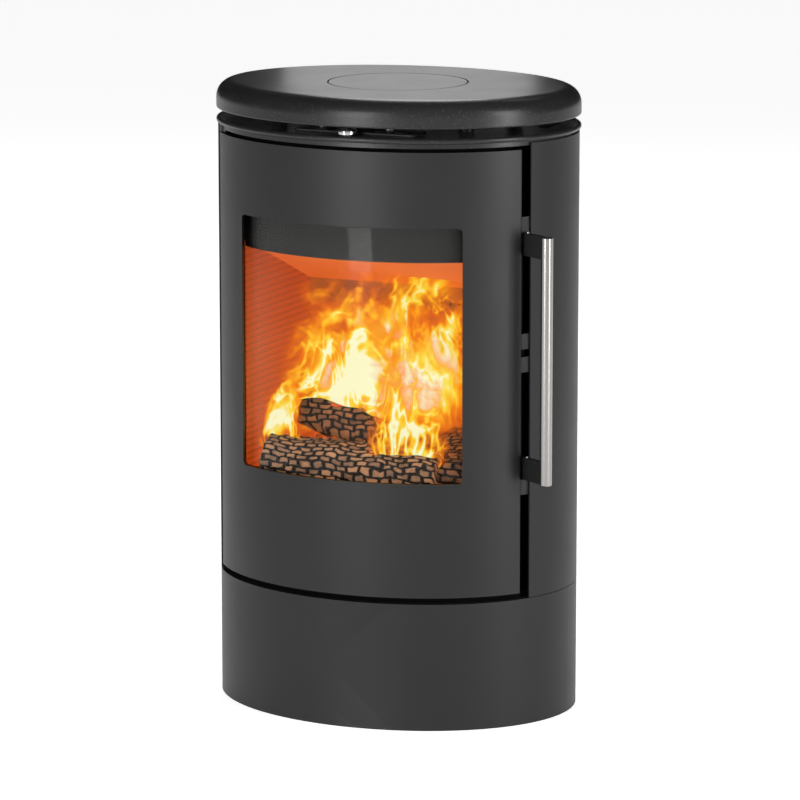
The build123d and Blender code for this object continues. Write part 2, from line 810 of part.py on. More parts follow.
# Spring catch on the right side plate, and its two screws
catch_x = plate_x + body_plate
catch_width = 1.2
catch_back = -14.0
hook_back = pivot_y + hook_reach
catch_foot = hook_height - 8
catch_height = hook_thickness + 16
with BuildPart() as catch_spring:
    with BuildSketch(Plane.XY.offset(catch_foot)):
        with BuildLine():
            Polyline(
                (catch_x + catch_width / 2, catch_back),
                (catch_x + catch_width / 2, hook_back - hook_nose_width + 1.2),
                (hook_nose_x + 3.4, hook_back - hook_nose_width - 10.8),
                (catch_x + catch_width / 2, hook_back - hook_nose_width - 22.8),
            )
        trace(line_width=catch_width)
    extrude(amount=catch_height)
    with BuildSketch(Plane.YZ.offset(catch_x)):
        with Locations((catch_back - 8, hook_height - 2), (catch_back - 8, hook_height + hook_thickness + 2)):
            Circle(1.6)
    extrude(amount=catch_width, mode=Mode.SUBTRACT)
save(catch_spring.part, "catch_spring")

with BuildPart() as catch_screws:
    with BuildSketch(Plane.YZ.offset(catch_x)):
        with Locations((catch_back - 8, hook_height - 2), (catch_back - 8, hook_height + hook_thickness + 2)):
            Circle(1.6)
    extrude(amount=catch_width)
    with BuildSketch(Plane.YZ.offset(catch_x + catch_width)):
        with Locations((catch_back - 8, hook_height - 2), (catch_back - 8, hook_height + hook_thickness + 2)):
            Circle(3.4)
    extrude(amount=2.0)
save(catch_screws.part, "catch_screws")

# Door casting: curved wall, window, seal channel, hinge lugs and bearing lugs
seal_half_width = door_edge_x - seal_edge_inset + seal_width / 2
seal_foot = door_bottom + seal_foot_inset - seal_width / 2
seal_head = door_top - seal_head_inset + seal_width / 2
rib_ring = window_frame(
    seal_half_width + channel_rib_width,
    seal_foot - channel_rib_width,
    seal_head + channel_rib_width,
    seal_width + 2 * channel_rib_width,
    6,
    half_depth,
)
groove_ring = window_frame(seal_half_width, seal_foot, seal_head, seal_width, 4, half_depth)
rib_wall = oval_wall(door_wall, door_wall + channel_rib_depth, door_bottom, door_top)
rib_solid = (rib_wall & rib_ring) - groove_ring
glass_half_width = window_half_width + glass_overlap
glass_foot = window_sill - glass_overlap
glass_head = window_head + glass_overlap
clip_thickness = 1.5
clip_length = 20.0
clip_width = 14.0
clip_inset = glass_back_inset + 0.2
clip_rise = 7.0
clip_places = [
    (x, z)
    for z in (glass_foot - clip_rise, glass_head + clip_rise)
    for x in (-0.62 * window_half_width, 0.0, 0.62 * window_half_width)
]


def inner_plane(x, z, depth):
    """Plane square to the door at a depth below its outer face, facing into the stove."""
    nx, ny = outward(x)
    origin = (x - nx * depth, front_y(x) - ny * depth, z)
    return Plane(origin=origin, x_dir=(-ny, nx, 0), z_dir=(-nx, -ny, 0))


lug_foots = [
    handle_foot - running_gap - bearing_lug_height,
    hook_height - running_gap - bearing_lug_height,
    hook_height + hook_thickness + running_gap,
    handle_head + running_gap,
]
with BuildPart() as door_casting:
    add(oval_wall(0, door_wall, door_bottom, door_top))
    with BuildSketch(Plane.XY.offset(door_bottom)):
        with BuildLine():
            Polyline(*front_sector(door_edge_x), close=True)
        make_face()
    extrude(amount=door_height, mode=Mode.INTERSECT)
    upright_edges = door_casting.edges().filter_by(lambda edge: abs(edge.length - door_height) < 0.01)
    fillet(upright_edges.group_by(Axis.Y)[0], radius=door_edge_round)
    with BuildSketch(front_plane()):
        with Locations((0, (window_sill + window_head) / 2)):
            RectangleRounded(2 * window_half_width, window_height, window_corner)
    extrude(amount=half_depth, mode=Mode.SUBTRACT)
    add(rib_solid)
    for x, z in clip_places:
        with BuildSketch(inner_plane(x, z, 0.5 * door_wall)):
            Circle(4.5)
        extrude(amount=clip_inset - 0.5 * door_wall)
    for foot in (door_bottom, door_top - hinge_lug_height):
        with BuildSketch(Plane.XY.offset(foot)):
            with Locations((hinge_x, hinge_y)):
                Circle(hinge_lug_radius)
        extrude(amount=hinge_lug_height)
        with BuildSketch(Plane.XY.offset(foot)):
            with Locations((hinge_x, hinge_y)):
                Circle(hinge_pin_radius)
        extrude(amount=hinge_lug_height, mode=Mode.SUBTRACT)
    for foot in lug_foots:
        nx, ny = outward(pivot_x, handle_pivot_inset)
        with BuildSketch(Plane(origin=(pivot_x, pivot_y, foot), x_dir=(nx, ny, 0), z_dir=(0, 0, 1))):
            Circle(bearing_lug_radius)
            with Locations((handle_pivot_inset / 2 - door_wall / 4, 0)):
                Rectangle(handle_pivot_inset - door_wall / 2, 2 * bearing_lug_radius)
            Circle(latch_shaft_radius + shaft_clearance, mode=Mode.SUBTRACT)
        extrude(amount=bearing_lug_height)
save(door_casting.part, "door_casting")

with BuildPart() as hinge_pins:
    with BuildSketch(Plane.XY.offset(plinth_height + running_gap)):
        with Locations((hinge_x, hinge_y)):
            Circle(hinge_pin_radius)
    extrude(amount=door_foot_gap - running_gap + hinge_lug_height)
    with BuildSketch(Plane.XY.offset(door_top - hinge_lug_height)):
        with Locations((hinge_x, hinge_y)):
            Circle(hinge_pin_radius)
    extrude(amount=hinge_lug_height + 0.65 * door_head_gap)
save(hinge_pins.part, "hinge_pins")

# Door seal rope in its channel
with BuildPart() as door_seal:
    add(oval_wall(door_wall, frame_inset - seat_gap, door_bottom, door_top))
    add(groove_ring, mode=Mode.INTERSECT)
save(door_seal.part, "door_seal")

# Window glass and the flat seal that it lies on
with BuildPart() as door_glass:
    add(oval_wall(glass_inset, glass_back_inset, glass_foot, glass_head))
    with BuildSketch(front_plane()):
        with Locations((0, (glass_foot + glass_head) / 2)):
            RectangleRounded(2 * glass_half_width, glass_head - glass_foot, window_corner)
    extrude(amount=half_depth, mode=Mode.INTERSECT)
save(door_glass.part, "door_glass")

with BuildPart() as glass_seal:
    add(oval_wall(door_wall, glass_inset, door_bottom, door_top))
    add(
        window_frame(glass_half_width, glass_foot, glass_head, glass_seal_width, window_corner, half_depth),
        mode=Mode.INTERSECT,
    )
save(glass_seal.part, "glass_seal")

# Clips that hold the glass, and their screws
with BuildPart() as glass_clips:
    for x, z in clip_places:
        towards_glass = -1 if z > window_head else 1
        with BuildSketch(inner_plane(x, z, clip_inset)):
            with Locations((0, -towards_glass * clip_length / 4)):
                RectangleRounded(clip_width, clip_length, 2)
            Circle(2.0, mode=Mode.SUBTRACT)
        extrude(amount=clip_thickness)
save(glass_clips.part, "glass_clips")

with BuildPart() as clip_screws:
    for x, z in clip_places:
        with BuildSketch(inner_plane(x, z, clip_inset)):
            Circle(2.0)
        extrude(amount=clip_thickness)
        with BuildSketch(inner_plane(x, z, clip_inset + clip_thickness)):
            Circle(3.8)
        extrude(amount=1.6)
save(clip_screws.part, "clip_screws")

# Handle: an upright round bar on two arms that turn on the latch shaft
with BuildPart() as handle_bar:
    with BuildSketch(Plane.XY.offset(handle_foot)):
        with Locations((bar_x, bar_y)):
            Circle(handle_radius)
    extrude(amount=handle_length)
    chamfer(handle_bar.edges().filter_by(GeomType.CIRCLE), length=0.6)
save(handle_bar.part, "handle_bar")

for foot, name in ((handle_foot, "lower_handle_arm"), (handle_head - arm_height, "upper_handle_arm")):
    with BuildPart() as handle_arm:
        arm_plane = Plane(
            origin=(pivot_x, pivot_y, foot),
            x_dir=(cos(radians(arm_angle)), sin(radians(arm_angle)), 0),
            z_dir=(0, 0, 1),
        )
        with BuildSketch(arm_plane):
            with Locations((arm_length / 2, 0)):
                Rectangle(arm_length, arm_thickness)
            Circle(arm_hub_radius)
            Circle(latch_shaft_radius, mode=Mode.SUBTRACT)
            with Locations((arm_length, 0)):
                Circle(handle_radius, mode=Mode.SUBTRACT)
            with Locations((0.3 * arm_length, 0)):
                Circle(arm_pin_radius, mode=Mode.SUBTRACT)
        extrude(amount=arm_height)
    save(handle_arm.part, name)

with BuildPart() as arm_pins:
    for foot in (handle_foot, handle_head - arm_height):
        arm_plane = Plane(
            origin=(pivot_x, pivot_y, foot),
            x_dir=(cos(radians(arm_angle)), sin(radians(arm_angle)), 0),
            z_dir=(0, 0, 1),
        )
        with BuildSketch(arm_plane):
            with Locations((0.3 * arm_length, 0)):
                Circle(arm_pin_radius)
        extrude(amount=arm_height + arm_pin_stand)
save(arm_pins.part, "arm_pins")

with BuildPart() as latch_shaft:
    with BuildSketch(Plane.XY.offset(lug_foots[0] + running_gap)):
        with Locations((pivot_x, pivot_y)):
            Circle(latch_shaft_radius)
    extrude(amount=lug_foots[3] + bearing_lug_height - lug_foots[0] - 2 * running_gap)
save(latch_shaft.part, "latch_shaft")

with BuildPart() as latch_hook:
    with BuildSketch(Plane.XY.offset(hook_height)):
        with Locations((pivot_x, pivot_y)):
            Circle(arm_hub_radius)
        with Locations((pivot_x, pivot_y + hook_reach / 2)):
            Rectangle(hook_nose_width, hook_reach)
        with BuildLine():
            Polyline(
                (pivot_x + hook_nose_width / 2, pivot_y + hook_reach),
                (pivot_x + hook_nose_width / 2, pivot_y + hook_reach - hook_nose_width),
                (hook_nose_x, pivot_y + hook_reach - hook_nose_width),
                (hook_nose_x, pivot_y + hook_reach - 2),
                (hook_nose_x + 2, pivot_y + hook_reach),
                close=True,
            )
        make_face()
        with Locations((pivot_x, pivot_y)):
            Circle(latch_shaft_radius, mode=Mode.SUBTRACT)
    extrude(amount=hook_thickness)
save(latch_hook.part, "latch_hook")

# Air slide on the top casting, with its guides and knob
slide_foot = lip_top + seat_gap
slide_middle = knob_x
with BuildPart() as air_slide:
    with BuildSketch(Plane.XY.offset(slide_foot)):
        with Locations((slide_middle, (slide_front + slide_back) / 2)):
            RectangleRounded(2 * slide_half_width, slide_back - slide_front, 4)
        knob_y = front_y(knob_x, -lip_overhang) + knob_edge_inset
        with Locations((knob_x, (knob_y + slide_front) / 2)):
            Rectangle(knob_tongue_width, slide_front - knob_y)
        with Locations((knob_x, knob_y)):
            Circle(knob_tongue_width / 2)
        with Locations((slide_middle, vent_y)):
            with GridLocations(vent_pitch, 0, vent_count, 1):
                Rectangle(vent_width, vent_depth, mode=Mode.SUBTRACT)
        travel = slide_travel_left + slide_travel_right
        middle = (slide_travel_left - slide_travel_right) / 2
        with Locations((middle - slide_guide_x, slide_guide_y), (middle + slide_guide_x, slide_guide_y)):
            SlotOverall(
                travel + 2 * (slide_guide_radius + running_gap),
                2 * (slide_guide_radius + running_gap),
                mode=Mode.SUBTRACT,
            )
    extrude(amount=slide_thickness)
save(air_slide.part, "air_slide")

with BuildPart() as slide_guides:
    with BuildSketch(Plane.XY.offset(lip_top)):
        with GridLocations(2 * slide_guide_x, 0, 2, 1):
            with Locations((0, slide_guide_y)):
                Circle(slide_guide_radius)
    extrude(amount=seat_gap + slide_thickness + seat_gap)
    with BuildSketch(Plane.XY.offset(slide_foot + slide_thickness + seat_gap)):
        with GridLocations(2 * slide_guide_x, 0, 2, 1):
            with Locations((0, slide_guide_y)):
                Circle(2 * slide_guide_radius)
    extrude(amount=2.0)
save(slide_guides.part, "slide_guides")

with BuildPart() as air_knob:
    with BuildSketch(Plane.XY.offset(slide_foot + slide_thickness)):
        with Locations((knob_x, knob_y)):
            Circle(knob_radius)
    extrude(amount=knob_height)
    fillet(air_knob.faces().sort_by(Axis.Z)[-1].edges(), radius=0.45 * knob_height)
    fillet(air_knob.faces().sort_by(Axis.Z)[0].edges(), radius=0.15 * knob_height)
save(air_knob.part, "air_knob")

# Lid: a hollow casting on four feet, with a round cover let into it
cover_seat = lid_top - cover_thickness - seat_gap
with BuildPart() as lid:
    with BuildSketch(Plane.XY.offset(lid_bottom)):
        Ellipse(half_width + lip_overhang, half_depth + lip_overhang)
    extrude(amount=lid_thickness)
    fillet(lid.edges().filter_by(GeomType.ELLIPSE).sort_by(Axis.Z)[-1], radius=lid_edge_round)
    fillet(lid.edges().filter_by(GeomType.ELLIPSE).sort_by(Axis.Z)[0], radius=0.1 * lid_edge_round)
    with BuildSketch(Plane.XY.offset(lid_bottom)):
        Ellipse(half_width + lip_overhang - lid_wall, half_depth + lip_overhang - lid_wall)
        Circle(cover_radius + cover_gap + lid_wall, mode=Mode.SUBTRACT)
    extrude(amount=lid_thickness - 1.6 * lid_wall, mode=Mode.SUBTRACT)
    with BuildSketch(Plane.XY.offset(lid_bottom)):
        Circle(cover_radius + cover_gap + lid_wall)
    extrude(amount=lid_thickness - 2.5 * lid_wall, mode=Mode.SUBTRACT)
    with BuildSketch(Plane.XY.offset(lid_bottom)):
        Circle(cover_radius - cover_ledge)
    extrude(amount=lid_thickness, mode=Mode.SUBTRACT)
    with BuildSketch(Plane.XY.offset(cover_seat)):
        Circle(cover_radius + cover_gap)
    extrude(amount=lid_thickness, mode=Mode.SUBTRACT)
    with BuildSketch(Plane.XY.offset(lip_top + seat_gap)):
        with GridLocations(2 * lid_foot_x, 2 * lid_foot_y, 2, 2):
            Circle(lid_foot_radius)
    extrude(amount=lid_gap + lid_thickness - lid_wall)
save(lid.part, "lid")

with BuildPart() as lid_cover:
    with BuildSketch(Plane.XY.offset(lid_top - cover_thickness)):
        Circle(cover_radius)
    extrude(amount=cover_thickness)
    fillet(lid_cover.faces().sort_by(Axis.Z)[-1].edges(), radius=0.8)
save(lid_cover.part, "lid_cover")

print("hinge axis", round(hinge_x, 3), round(hinge_y, 3))
print("handle axis", round(pivot_x, 3), round(pivot_y, 3))
print("handle bar", round(bar_x, 3), round(bar_y, 3))
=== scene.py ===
# %% [markdown]
# An oval wood stove, dressed for its picture.
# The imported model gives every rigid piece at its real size. This file gives each of them its
# finish, and adds what only a picture needs: the burning logs, the embers and the flames.

# %% Load the frame
from math import cos, pi, radians, sin, sqrt

import bpy
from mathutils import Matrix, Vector


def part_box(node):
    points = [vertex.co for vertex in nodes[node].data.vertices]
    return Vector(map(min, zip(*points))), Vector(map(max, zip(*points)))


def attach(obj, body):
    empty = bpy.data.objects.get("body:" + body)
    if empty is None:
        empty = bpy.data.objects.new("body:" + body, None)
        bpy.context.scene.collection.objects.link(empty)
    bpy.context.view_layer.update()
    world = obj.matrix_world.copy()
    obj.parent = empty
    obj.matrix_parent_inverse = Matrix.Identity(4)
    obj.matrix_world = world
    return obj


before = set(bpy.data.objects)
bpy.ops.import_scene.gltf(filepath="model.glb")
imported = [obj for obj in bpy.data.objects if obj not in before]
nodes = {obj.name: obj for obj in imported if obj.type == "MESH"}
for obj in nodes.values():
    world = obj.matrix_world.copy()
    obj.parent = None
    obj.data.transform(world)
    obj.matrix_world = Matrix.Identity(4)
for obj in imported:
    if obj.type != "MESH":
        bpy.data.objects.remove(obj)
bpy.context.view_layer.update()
print("pieces from the CAD model:", len(nodes))

# %% [markdown]
# The stove's main sizes are read from the model's own boxes, so that the fire sits on the hearth
# and stays inside the liners whatever size they have.

# %% Places inside the firebox
hearth_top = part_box("hearth_plate")[1][2]
fire_half_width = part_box("right_liner")[0][0]
fire_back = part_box("back_liner")[0][1]
guard_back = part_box("log_guard")[1][1]
print("hearth at", round(hearth_top, 4), "firebox half width", round(fire_half_width, 4))


# %% [markdown]
# Materials are small graphs of nodes. These helpers keep each graph short: one adds a node with
# its settings, one does a step of arithmetic, and one starts a material with its shader.

# %% Node helpers
def feed(tree, socket, value):
    """Links the socket to another socket, or sets it to a plain value."""
    if isinstance(value, bpy.types.NodeSocket):
        tree.links.new(value, socket)
    else:
        socket.default_value = value


def add_node(tree, kind, settings=None, **inputs):
    """A node of one kind, with its settings and input values; a socket given as a value is linked."""
    node = tree.nodes.new(kind)
    for key, value in (settings or {}).items():
        setattr(node, key, value)
    for key, value in inputs.items():
        feed(tree, node.inputs[key.replace("_", " ")], value)
    return node


def reckon(tree, operation, first, second=0.0, third=0.0, clamp=False):
    """One step of arithmetic between numbers or sockets."""
    node = tree.nodes.new("ShaderNodeMath")
    node.operation = operation
    node.use_clamp = clamp
    for socket, value in zip(node.inputs, (first, second, third)):
        feed(tree, socket, value)
    return node.outputs[0]


def mix_colours(tree, mask, first, second):
    """A blend from the first colour to the second as the mask goes from 0 to 1."""
    node = tree.nodes.new("ShaderNodeMix")
    node.data_type = "RGBA"
    for socket, value in ((node.inputs["Factor"], mask), (node.inputs[6], first), (node.inputs[7], second)):
        feed(tree, socket, value)
    return node.outputs[2]


def ramp(tree, value, stops):
    """A colour ramp through the given (place, colour) stops."""
    node = add_node(tree, "ShaderNodeValToRGB", Fac=value)
    while len(node.color_ramp.elements) < len(stops):
        node.color_ramp.elements.new(0.5)
    for element, (place, colour) in zip(node.color_ramp.elements, stops):
        element.position = place
        element.color = colour
    return node.outputs["Color"]


def grey(level):
    """A neutral colour."""
    return (level, level, level, 1.0)


def new_material(name, **shader_values):
    """A material with its Principled shader; returns the material, its tree and the shader."""
    material = bpy.data.materials.new(name)
    material.use_nodes = True
    tree = material.node_tree
    shader = tree.nodes["Principled BSDF"]
    for key, value in shader_values.items():
        shader.inputs[key.replace("_", " ")].default_value = value
    return material, tree, shader


def new_group(name, inputs, outputs):
    """An empty node group with float inputs and named outputs."""
    group = bpy.data.node_groups.new(name, "ShaderNodeTree")
    for label, value in inputs.items():
        socket = group.interface.new_socket(label, in_out="INPUT", socket_type="NodeSocketFloat")
        socket.default_value = value
    for label, kind in outputs.items():
        group.interface.new_socket(label, in_out="OUTPUT", socket_type=kind)
    return group, group.nodes.new("NodeGroupInput"), group.nodes.new("NodeGroupOutput")


def use_group(tree, group, **inputs):
    """The group placed in a material, with its own values."""
    node = tree.nodes.new("ShaderNodeGroup")
    node.node_tree = group
    for key, value in inputs.items():
        feed(tree, node.inputs[key.replace("_", " ")], value)
    return node


def bump(tree, shader, height, strength, distance):
    """Feeds a height to the shader as a bump."""
    node = add_node(tree, "ShaderNodeBump", Height=height, Strength=strength, Distance=distance)
    tree.links.new(node.outputs["Normal"], shader.inputs["Normal"])


# %% [markdown]
# Stove paint is a sprayed, heat proof film. Close up it is a fine pebbled skin, and over a whole
# panel its shade drifts a little. The group makes both from noise at two scales, and adds specks.

# %% Paint grain group
paint_grain, group_in, group_out = new_group(
    "paint_grain",
    {"Grain": 900.0, "Drift": 14.0},
    {"Height": "NodeSocketFloat", "Shade": "NodeSocketFloat", "Speck": "NodeSocketFloat"},
)
place = paint_grain.nodes.new("ShaderNodeTexCoord").outputs["Object"]
pebble = add_node(paint_grain, "ShaderNodeTexNoise", Vector=place, Detail=2.0, Roughness=0.6)
paint_grain.links.new(group_in.outputs["Grain"], pebble.inputs["Scale"])
drift = add_node(paint_grain, "ShaderNodeTexNoise", Vector=place, Detail=3.0, Roughness=0.55)
paint_grain.links.new(group_in.outputs["Drift"], drift.inputs["Scale"])
speck = add_node(paint_grain, "ShaderNodeTexWhiteNoise", {"noise_dimensions": "3D"})
snapped = add_node(paint_grain, "ShaderNodeVectorMath", {"operation": "SNAP"})
paint_grain.links.new(place, snapped.inputs[0])
snapped.inputs[1].default_value = (0.0007, 0.0007, 0.0007)
paint_grain.links.new(snapped.outputs["Vector"], speck.inputs["Vector"])
paint_grain.links.new(pebble.outputs["Fac"], group_out.inputs["Height"])
paint_grain.links.new(drift.outputs["Fac"], group_out.inputs["Shade"])
paint_grain.links.new(
    reckon(paint_grain, "GREATER_THAN", speck.outputs["Value"], 0.985), group_out.inputs["Speck"]
)
print("group made:", paint_grain.name)

# %% [markdown]
# The fire lights everything round it. Instead of a lamp, a soft ball of painted firelight is worked out
# from the distance to the fire's middle, so that the liners are painted with the same glow in any renderer.

# %% Painted firelight group
fire_middle = (0.02, -0.02, hearth_top + 0.13)
painted_firelight, glow_in, glow_out = new_group(
    "painted_firelight", {"Reach": 0.26}, {"Firelight": "NodeSocketFloat", "Flicker": "NodeSocketFloat"}
)
place = painted_firelight.nodes.new("ShaderNodeTexCoord").outputs["Object"]
offset = add_node(painted_firelight, "ShaderNodeVectorMath", {"operation": "DISTANCE"})
painted_firelight.links.new(place, offset.inputs[0])
offset.inputs[1].default_value = fire_middle
nearness = reckon(painted_firelight, "DIVIDE", offset.outputs["Value"], glow_in.outputs["Reach"])
firelight_level = reckon(painted_firelight, "SUBTRACT", 1.25, nearness, clamp=True)
waver = add_node(painted_firelight, "ShaderNodeTexNoise", Vector=place, Scale=16.0, Detail=2.0)
painted_firelight.links.new(firelight_level, glow_out.inputs["Firelight"])
painted_firelight.links.new(waver.outputs["Fac"], glow_out.inputs["Flicker"])
print("group made:", painted_firelight.name)


# %% [markdown]
# The painted pieces differ only a little: sheet metal is smoother, castings are coarser. One
# function makes the family, so every panel reads as the same black finish.

# %% Painted finishes
def stove_paint(name, shade, roughness, grain, grain_depth, fleck, shine=0.5, inner_oval=None):
    """Matt black paint; fleck is how much its metallic specks show, and inside the oval it is near black
    without shine as painted shade.
    """
    material, tree, shader = new_material(name, Specular_IOR_Level=shine)
    skin = use_group(tree, paint_grain, Grain=grain)
    colour = mix_colours(tree, skin.outputs["Shade"], grey(shade * 0.85), grey(shade * 1.2))
    specked = mix_colours(tree, reckon(tree, "MULTIPLY", skin.outputs["Speck"], fleck), colour, grey(0.3))
    if inner_oval:
        # Painted shade: inside the oval, the door's inner side and its lugs in the dark gap, the paint is
        # near black and has no shine.
        place = add_node(tree, "ShaderNodeTexCoord").outputs["Object"]
        flattened = add_node(tree, "ShaderNodeVectorMath", {"operation": "DIVIDE"})
        tree.links.new(place, flattened.inputs[0])
        flattened.inputs[1].default_value = (*inner_oval, 100.0)
        reach = add_node(tree, "ShaderNodeVectorMath", {"operation": "LENGTH"})
        tree.links.new(flattened.outputs["Vector"], reach.inputs[0])
        outside = reckon(tree, "GREATER_THAN", reach.outputs["Value"], 1.0)
        specked = mix_colours(tree, outside, grey(0.003), specked)
        tree.links.new(reckon(tree, "MULTIPLY", outside, shine), shader.inputs["Specular IOR Level"])
    tree.links.new(specked, shader.inputs["Base Color"])
    rough = reckon(tree, "MULTIPLY_ADD", skin.outputs["Shade"], 0.10, roughness - 0.05)
    tree.links.new(rough, shader.inputs["Roughness"])
    bump(tree, shader, skin.outputs["Height"], 0.5, grain_depth)
    return material


door_paint = stove_paint("door_paint", 0.015, 0.43, 1100.0, 0.00007, 0.0, inner_oval=(0.2142, 0.1682))
sheet_paint = stove_paint("sheet_paint", 0.015, 0.45, 1100.0, 0.00006, 0.0)
cast_paint = stove_paint("cast_paint", 0.024, 0.31, 700.0, 0.00016, 0.35)
# Near black, dull paint for the inner parts and the latch parts in the gap: partly their own paint, partly
# painted shade.
inner_paint_and_shade = stove_paint("inner_paint_and_shade", 0.005, 0.80, 800.0, 0.00010, 0.0, shine=0.08)
duct_paint = stove_paint("duct_paint", 0.014, 0.55, 800.0, 0.00010, 0.0, shine=0.3)
print("painted finishes made")

# %% [markdown]
# The handle is brushed stainless bar. Its brushing runs round the bar, so the scratches are
# noise squeezed along the height, and they break the reflections into soft upright bands.

# %% Metal finishes
def brushed_steel(name, colour, roughness, squeeze):
    """Steel with fine scratches; squeeze stretches the scratch noise on each axis."""
    material, tree, shader = new_material(name, Metallic=1.0)
    place = add_node(tree, "ShaderNodeTexCoord").outputs["Object"]
    squeezed = add_node(tree, "ShaderNodeMapping", Vector=place, Scale=squeeze)
    scratch = add_node(tree, "ShaderNodeTexNoise", Vector=squeezed.outputs["Vector"], Scale=1.0, Detail=4.0)
    dark = [c * 0.82 for c in colour[:3]] + [1.0]
    tree.links.new(mix_colours(tree, scratch.outputs["Fac"], dark, colour), shader.inputs["Base Color"])
    rough = reckon(tree, "MULTIPLY_ADD", scratch.outputs["Fac"], 0.16, roughness - 0.06)
    tree.links.new(rough, shader.inputs["Roughness"])
    bump(tree, shader, scratch.outputs["Fac"], 0.12, 0.00004)
    return material


handle_steel = brushed_steel("handle_steel", (0.46, 0.44, 0.42, 1.0), 0.15, (160.0, 160.0, 5200.0))
zinc_steel = brushed_steel("zinc_steel", (0.46, 0.46, 0.47, 1.0), 0.38, (900.0, 900.0, 900.0))
spring_steel = brushed_steel("spring_steel", (0.30, 0.29, 0.28, 1.0), 0.35, (400.0, 400.0, 3000.0))
knob_chrome = brushed_steel("knob_chrome", (0.80, 0.80, 0.81, 1.0), 0.10, (1200.0, 1200.0, 1200.0))
print("metal finishes made")


# %% [markdown]
# The firebox is lined with a pale insulating board. The fire's orange light is painted on it as a glow,
# strongest by the flames and fading to brown red at the front, with painted shade in the grooves.

# %% Firebox finishes
def firebox_board(name, colour, warm, hot, reach, strength, pitch=None):
    """Lining board with painted firelight, warm far off and hot close by, and painted shade in grooves at a
    pitch.
    """
    material, tree, shader = new_material(name, Roughness=0.92, Emission_Strength=strength)
    skin = use_group(tree, paint_grain, Grain=420.0, Drift=30.0)
    glow = use_group(tree, painted_firelight, Reach=reach)
    dark = [c * 0.7 for c in colour[:3]] + [1.0]
    tree.links.new(mix_colours(tree, skin.outputs["Height"], dark, colour), shader.inputs["Base Color"])
    # Painted firelight: the board's emission grows towards the fire's middle, standing in for the fire's
    # light.
    wavering = reckon(tree, "MULTIPLY_ADD", glow.outputs["Flicker"], 0.5, 0.75)
    firelight_level = reckon(tree, "MULTIPLY", glow.outputs["Firelight"], wavering, clamp=True)
    lit = mix_colours(tree, firelight_level, warm, hot)
    mottle = reckon(tree, "MULTIPLY_ADD", skin.outputs["Height"], 0.7, 0.6)
    # Painted shade: in the grooves the painted firelight drops to 0.55.
    if pitch:
        height = add_node(
            tree, "ShaderNodeSeparateXYZ", Vector=add_node(tree, "ShaderNodeTexCoord").outputs["Object"]
        )
        turns = reckon(tree, "DIVIDE", reckon(tree, "SUBTRACT", height.outputs["Z"], hearth_top), pitch)
        stripe = reckon(tree, "ABSOLUTE", reckon(tree, "SUBTRACT", reckon(tree, "FRACT", turns), 0.5))
        groove_shade = add_node(tree, "ShaderNodeMapRange", Value=stripe, From_Min=0.06, From_Max=0.22, To_Min=0.55)
        mottle = reckon(tree, "MULTIPLY", mottle, groove_shade.outputs[0])
    shaded = add_node(tree, "ShaderNodeVectorMath", {"operation": "SCALE"})
    tree.links.new(lit, shaded.inputs[0])
    tree.links.new(mottle, shaded.inputs["Scale"])
    tree.links.new(shaded.outputs["Vector"], shader.inputs["Emission Color"])
    bump(tree, shader, skin.outputs["Height"], 0.6, 0.0006)
    return material


# The liners, the baffle, the air strip and the hearth iron all take painted firelight as emission.
liner_board = firebox_board(
    "liner_board", (0.25, 0.12, 0.06, 1.0), (0.26, 0.020, 0.003, 1.0), (0.66, 0.090, 0.008, 1.0), 0.24, 0.9,
    0.0076
)
baffle_board = firebox_board(
    "baffle_board", (0.25, 0.12, 0.06, 1.0), (0.44, 0.045, 0.005, 1.0), (0.80, 0.14, 0.012, 1.0), 0.30, 0.9
)
strip_metal = firebox_board(
    "strip_metal", (0.10, 0.07, 0.05, 1.0), (0.16, 0.026, 0.005, 1.0), (0.42, 0.085, 0.012, 1.0), 0.28, 0.9
)
hearth_iron = firebox_board(
    "hearth_iron", (0.05, 0.045, 0.04, 1.0), (0.015, 0.003, 0.001, 1.0), (0.55, 0.09, 0.01, 1.0), 0.15, 0.8
)
print("firebox finishes made")


# %% [markdown]
# The window is clear ceramic glass. The seals are braided glass fibre rope, dark with soot: a
# diagonal wave gives the braid.

# %% Glass and rope
window_glass, tree, shader = new_material(
    "window_glass", Base_Color=(0.98, 0.975, 0.96, 1.0), Roughness=0.0, IOR=1.13, Transmission_Weight=1.0,
    Specular_IOR_Level=0.5
)
glass_place = add_node(tree, "ShaderNodeTexCoord").outputs["Object"]
ripple = add_node(tree, "ShaderNodeTexNoise", Vector=glass_place, Scale=9.0, Detail=1.0)
bump(tree, shader, ripple.outputs["Fac"], 0.03, 0.0005)

seal_rope, tree, shader = new_material("seal_rope", Roughness=0.9)
rope_place = add_node(tree, "ShaderNodeTexCoord").outputs["Object"]
strand = add_node(
    tree, "ShaderNodeTexWave", {"bands_direction": "DIAGONAL"}, Vector=rope_place, Scale=160.0, Distortion=1.5
)
strand_colour = mix_colours(tree, strand.outputs["Fac"], grey(0.02), grey(0.11))
tree.links.new(strand_colour, shader.inputs["Base Color"])
bump(tree, shader, strand.outputs["Fac"], 0.6, 0.0006)
print("glass and rope made")

# %% [markdown]
# Each node now takes its finish. One dictionary keeps the choice in one place, and whatever
# isn't named there is a painted sheet part.

